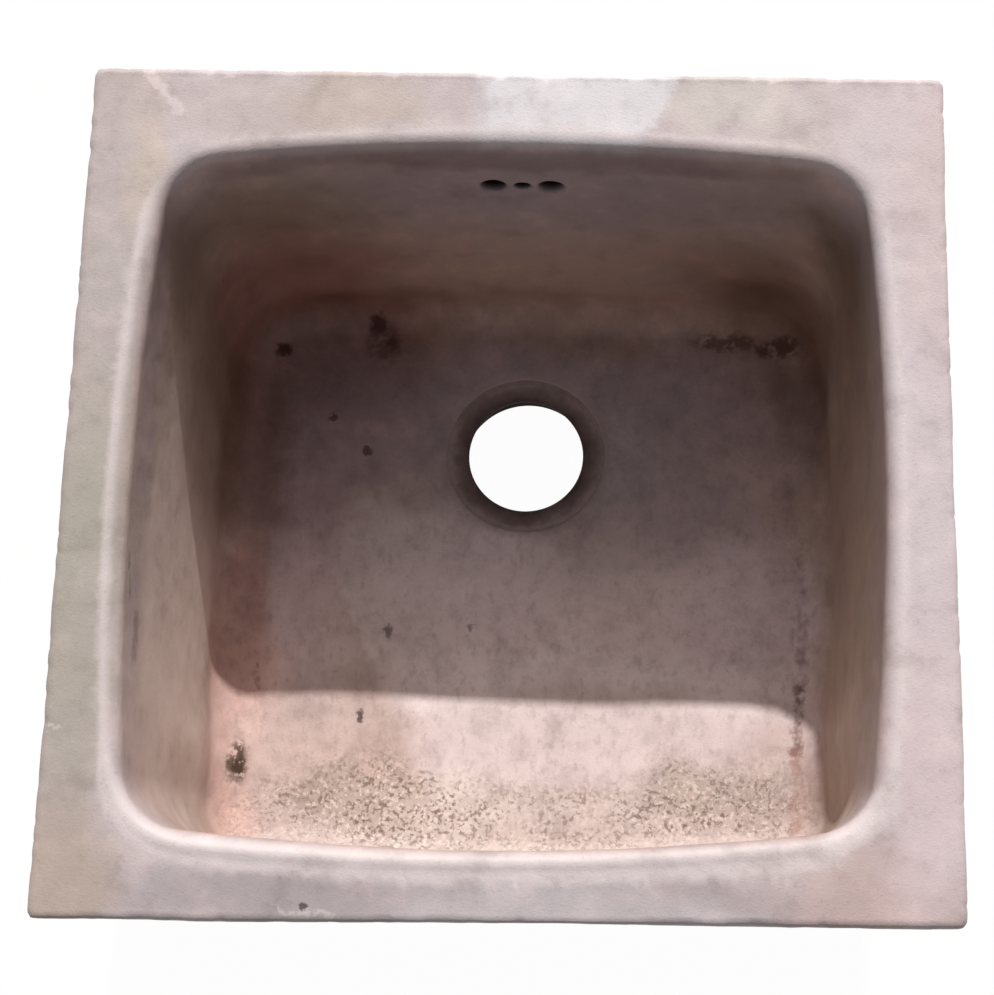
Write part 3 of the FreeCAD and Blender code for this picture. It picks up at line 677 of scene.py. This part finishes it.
def make_stoneware():
    look = Look("stoneware_worn")
    wide = look.shaken(*WIDE_PUSH)
    fine = look.shaken(*FINE_PUSH)
    bowl = look.attribute("bowl")
    lip = look.attribute("lip")
    wall = look.attribute("wall")
    flat = look.math("SUBTRACT", 1.0, wall)

    # Fired clay: grey-pink, mottled
    shade = look.step(look.noise(*CLOUD_NOISE), *CLOUD_LEVELS)
    colour = look.mix(shade, linear(*RIM_COOL), linear(*RIM_WARM))
    for centre, reach, soft, tint, strength in RIM_MARKS:
        share = look.math("MULTIPLY", look.blot(wide, centre, reach, soft), strength)
        colour = look.mix(share, colour, linear(*tint))

    # Whiter patch on the back of the rim, with a slanting right end
    patch = PATCH_STRENGTH
    for limit in PATCH_LIMITS:
        patch = look.math("MULTIPLY", patch, look.between(fine, *limit))
    colour = look.mix(patch, colour, linear(*PATCH_TINT))

    # Lip, worn pale, with a painted highlight along the front lip
    colour = look.mix(look.math("MULTIPLY", lip, LIP_STRENGTH), colour, linear(*LIP_PALE_AND_HIGHLIGHT))

    # Bowl: a browner clay with olive walls, its grime and its stains, and painted light and shade
    # on its floor and walls
    floor = look.mix(shade, linear(*FLOOR_COOL), linear(*FLOOR_WARM))
    sides = look.mix(shade, linear(*WALL_COOL), linear(*WALL_WARM))
    inside = look.mix(wall, floor, sides)
    for centre, reach, soft, tint, strength in BOWL_STAINS_AND_PAINTED_LIGHT:
        share = look.math("MULTIPLY", look.blot(wide, centre, reach, soft), strength)
        inside = look.mix(share, inside, linear(*tint))
    tide_place = look.shaken(*TIDE_PUSH)
    across = look.vector("DOT_PRODUCT", tide_place, TIDE_WAY)
    tide = look.step(across, *TIDE_FADE)
    tide = look.math("MULTIPLY", tide, look.step(across, *TIDE_EDGE, 1.0, 0.0))
    tide = look.math("MULTIPLY", tide, look.between(tide_place, ALONG_Y, *TIDE_RUN))
    inside = look.mix(look.math("MULTIPLY", tide, flat), inside, linear(*TIDE_TINT), "MULTIPLY")
    mottle = look.noise(*MOTTLE_NOISE)
    dull = look.math("MULTIPLY", flat, look.step(mottle, *DULL_LEVELS))
    inside = look.mix(dull, inside, linear(*DULL_TINT), "MULTIPLY")
    clear = look.math("MULTIPLY", flat, look.step(mottle, *CLEAR_LEVELS))
    inside = look.mix(clear, inside, linear(*CLEAR_TINT), "SOFT_LIGHT")
    stretched = look.vector("MULTIPLY", look.place, FLECK_STRETCH)
    flecks = look.step(look.noise(*FLECK_NOISE, stretched), *FLECK_LEVELS)
    flecks = look.math("MULTIPLY", flat, flecks)
    inside = look.mix(flecks, inside, linear(*FLECK_TINT))
    colour = look.mix(bowl, colour, inside)

    # Mottling and speckle
    blotch = look.noise(*BLOTCH_NOISE)
    light = look.step(blotch, *LIGHT_LEVELS)
    colour = look.mix(light, colour, linear(*LIGHT_TINT), "SOFT_LIGHT")
    dark = look.step(blotch, *DARK_LEVELS)
    colour = look.mix(dark, colour, linear(*DARK_TINT), "MULTIPLY")
    speck = look.noise(*SPECK_NOISE)
    specks = look.math("MULTIPLY", flat, look.step(speck, *SPECK_LEVELS))
    colour = look.mix(specks, colour, linear(*SPECK_TINT), "MULTIPLY")

    # Grit on the front of the floor: pale, brown and grey-olive grains in clusters
    clusters = look.step(look.noise(*CLUSTER_NOISE), *CLUSTER_LEVELS)
    crumbs = look.step(look.noise(*CRUMB_NOISE), *CRUMB_LEVELS)
    crumbs = look.math("MULTIPLY", crumbs, clusters)
    grain = look.noise(*GRAIN_NOISE)
    pale_grains = look.step(grain, *PALE_GRAIN_LEVELS)
    earth = look.mix(look.step(grain, *EARTH_LEVELS), linear(*GRIT_OLIVE), linear(*GRIT_BROWN))
    for centre, reach, strength in GRIT_PATCHES:
        patch = look.math("MULTIPLY", look.blot(wide, centre, reach, GRIT_SOFT), strength)
        colour = look.mix(look.math("MULTIPLY", patch, pale_grains), colour, linear(*GRIT_PALE))
        colour = look.mix(look.math("MULTIPLY", patch, crumbs), colour, earth)

    # Lines, spots, mould, the painted shade in the overflow holes, and the dirt round the waste
    for start, end, width, tint, strength in LINES:
        share = look.math("MULTIPLY", look.stroke(fine, start, end, width, LINE_SOFT), strength)
        colour = look.mix(share, colour, linear(*tint))
    dirt_and_hole_shade = 0.0
    for centre, reach, strength in BLACK_SPOTS:
        share = look.math("MULTIPLY", look.blot(fine, centre, reach, SPOT_SOFT), strength)
        colour = look.mix(share, colour, linear(*SPOT_TINT))
        dirt_and_hole_shade = look.math("MAXIMUM", share, dirt_and_hole_shade)
    tufts = look.step(look.noise(*TUFT_NOISE), *TUFT_LEVELS)
    for centre, reach, tint, strength in MOULD:
        share = look.math("MULTIPLY", look.blot(fine, centre, reach, SPOT_SOFT), tufts)
        share = look.math("MULTIPLY", share, strength)
        colour = look.mix(share, colour, linear(*tint))
        dirt_and_hole_shade = look.math("MAXIMUM", share, dirt_and_hole_shade)
    # Painted shade: the overflow holes are coloured dark inside
    for centre, reach in OVERFLOW_HOLES:
        share = look.blot(look.place, centre, reach, HOLE_SOFT)
        colour = look.mix(share, colour, linear(*HOLE_SHADE_TINT))
        dirt_and_hole_shade = look.math("MAXIMUM", share, dirt_and_hole_shade)
    ring = look.radius(look.shaken(*RING_PUSH))
    grime = look.math("MULTIPLY", flat, look.step(ring, *GRIME_LEVELS))
    colour = look.mix(grime, colour, linear(*FLANGE_GRIME))

    look.set("Base Color", colour)
    # Dirt, and the painted shade in the overflow holes, are matt
    look.set("Roughness", look.step(dirt_and_hole_shade, 0.0, 1.0, *ROUGHNESS))
    look.set("Specular IOR Level", look.step(dirt_and_hole_shade, 0.0, 1.0, *SHEEN))
    look.bump(look.math("ADD", speck, look.noise(*PIT_NOISE)))
    return look.material


def make_old_brass():
    """The flange of the waste: dark old brass under the grime of the floor round it, with painted
    shade darkening it towards the bore and down inside the bore.
    """
    look = Look("dark_brass_old")
    ring = look.radius(look.shaken(*RING_PUSH))
    # Dark old brass towards the bore, deepened with painted shade
    colour = look.mix(look.step(ring, *BORE_RING), linear(*BORE_EDGE_BRASS_AND_SHADE_TINT), linear(*DISH_TINT))
    colour = look.mix(look.step(ring, *GRIME_RING), colour, linear(*FLANGE_GRIME))
    height = look.vector("DOT_PRODUCT", look.place, ALONG_Z)
    # Painted shade: the bore darkened down inside it
    colour = look.mix(look.step(height, *BORE_SHADE_FROM), colour, linear(*BORE_SHADE_TINT))
    tarnish = look.step(look.noise(*TARNISH_NOISE), *TARNISH_LEVELS)
    colour = look.mix(tarnish, colour, linear(*TARNISH_TINT))
    look.set("Base Color", colour)
    look.set("Roughness", BRASS_ROUGHNESS)
    look.set("Specular IOR Level", look.step(height, *BRASS_SHEEN))
    look.set("Metallic", BRASS_METALLIC)
    look.bump(look.noise(*SPECK_NOISE))
    return look.material


def make_plain(name, tint, roughness, metallic, specks):
    """A worn plain material: one colour, darkened in patches."""
    look = Look(name)
    patch = look.step(look.noise(*WORN_NOISE), *WORN_LEVELS, 0.0, specks)
    dark = tuple(WORN_DARK * level for level in tint)
    look.set("Base Color", look.mix(patch, linear(*tint), linear(*dark)))
    look.set("Roughness", roughness)
    look.set("Metallic", metallic)
    return look.material


def dress(node, material):
    node.data.materials.clear()
    node.data.materials.append(material)


def seen_share(tree):
    """1 for rays that show the background: from the camera, by a reflection or through glass."""
    path = tree.nodes.new("ShaderNodeLightPath")
    share = path.outputs["Is Camera Ray"]
    for name in ("Is Glossy Ray", "Is Transmission Ray"):
        either = tree.nodes.new("ShaderNodeMath")
        either.operation = "MAXIMUM"
        tree.links.new(share, either.inputs[0])
        tree.links.new(path.outputs[name], either.inputs[1])
        share = either.outputs[0]
    return share


def make_world():
    world = bpy.data.worlds.new("studio")
    bpy.context.scene.world = world
    world.use_nodes = True
    tree = world.node_tree
    tree.nodes.clear()
    sky = tree.nodes.new("ShaderNodeBackground")
    sky.inputs["Color"].default_value = (*SKY_COLOUR, 1.0)
    sky.inputs["Strength"].default_value = SKY_STRENGTH
    white = tree.nodes.new("ShaderNodeBackground")
    white.inputs["Color"].default_value = (1.0, 1.0, 1.0, 1.0)
    white.inputs["Strength"].default_value = 1.0
    both = tree.nodes.new("ShaderNodeMixShader")
    output = tree.nodes.new("ShaderNodeOutputWorld")
    tree.links.new(seen_share(tree), both.inputs[0])
    tree.links.new(sky.outputs[0], both.inputs[1])
    tree.links.new(white.outputs[0], both.inputs[2])
    tree.links.new(both.outputs[0], output.inputs["Surface"])


def make_floor():
    mesh = bpy.data.meshes.new("studio_floor")
    square = ((-1, -1), (1, -1), (1, 1), (-1, 1))
    corners = [(x * FLOOR_REACH, y * FLOOR_REACH, 0.0) for x, y in square]
    mesh.from_pydata(corners, [], [(0, 1, 2, 3)])
    floor = bpy.data.objects.new("studio_floor", mesh)
    bpy.context.scene.collection.objects.link(floor)
    material = bpy.data.materials.new("studio_floor")
    material.use_nodes = True
    tree = material.node_tree
    tree.nodes.clear()
    plain = tree.nodes.new("ShaderNodeBsdfDiffuse")
    plain.inputs["Color"].default_value = (FLOOR_COLOUR, FLOOR_COLOUR, FLOOR_COLOUR, 1.0)
    shade = tree.nodes.new("ShaderNodeBsdfDiffuse")
    shade.inputs["Color"].default_value = (FLOOR_SHADE, FLOOR_SHADE, FLOOR_SHADE, 1.0)
    glow = tree.nodes.new("ShaderNodeEmission")
    glow.inputs["Strength"].default_value = FLOOR_GLOW
    seen = tree.nodes.new("ShaderNodeAddShader")
    both = tree.nodes.new("ShaderNodeMixShader")
    output = tree.nodes.new("ShaderNodeOutputMaterial")
    tree.links.new(shade.outputs[0], seen.inputs[0])
    tree.links.new(glow.outputs[0], seen.inputs[1])
    tree.links.new(seen_share(tree), both.inputs[0])
    tree.links.new(plain.outputs[0], both.inputs[1])
    tree.links.new(seen.outputs[0], both.inputs[2])
    tree.links.new(both.outputs[0], output.inputs["Surface"])
    mesh.materials.append(material)


def make_sun():
    data = bpy.data.lights.new("key", "SUN")
    data.energy = SUN_STRENGTH
    data.color = SUN_COLOUR
    data.angle = np.radians(SUN_SPREAD)
    sun = bpy.data.objects.new("key", data)
    bpy.context.scene.collection.objects.link(sun)
    up = np.radians(SUN_ELEVATION)
    turn = np.radians(SUN_AZIMUTH)
    towards = Vector((np.cos(up) * np.sin(turn), np.cos(up) * np.cos(turn), np.sin(up)))
    sun.rotation_mode = "QUATERNION"
    sun.rotation_quaternion = towards.to_track_quat("Z", "Y")


def make_camera():
    data = bpy.data.cameras.new("camera")
    data.lens = CAMERA_LENS
    data.sensor_width = CAMERA_SENSOR
    camera = bpy.data.objects.new("camera", data)
    bpy.context.scene.collection.objects.link(camera)
    up = CAMERA_RIGHT.cross(CAMERA_FORWARD)
    turn = Matrix((CAMERA_RIGHT, up, -CAMERA_FORWARD)).transposed()
    camera.matrix_world = Matrix.Translation(CAMERA_PLACE) @ turn.to_4x4()
    bpy.context.scene.camera = camera


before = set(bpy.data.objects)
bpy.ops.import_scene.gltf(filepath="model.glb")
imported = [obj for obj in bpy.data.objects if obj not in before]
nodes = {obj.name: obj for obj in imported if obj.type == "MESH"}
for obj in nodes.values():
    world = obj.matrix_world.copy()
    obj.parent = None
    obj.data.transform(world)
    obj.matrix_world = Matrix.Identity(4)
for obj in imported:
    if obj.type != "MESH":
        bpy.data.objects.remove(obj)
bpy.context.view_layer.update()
bpy.context.scene.view_settings.view_transform = "Standard"

stoneware = make_stoneware()
basin = make_basin(nodes["basin_body"])
dress(basin, stoneware)
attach(basin, "root")
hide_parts("basin_body")

dress(nodes["overflow_cover"], stoneware)
dress(nodes["waste_body"], make_old_brass())
brass = make_plain("bright_brass_dull", (168, 140, 92), 0.45, 0.9, 0.5)
for name in ("overflow_ferrule", "waste_slip_washer", "waste_back_nut"):
    dress(nodes[name], brass)
dress(nodes["waste_bedding"], make_plain("putty_hard", (146, 134, 120), 0.8, 0.0, 0.4))
dress(nodes["waste_seal"], make_plain("rubber_black", (48, 47, 46), 0.75, 0.0, 0.3))

make_world()
make_floor()
make_sun()
make_camera()
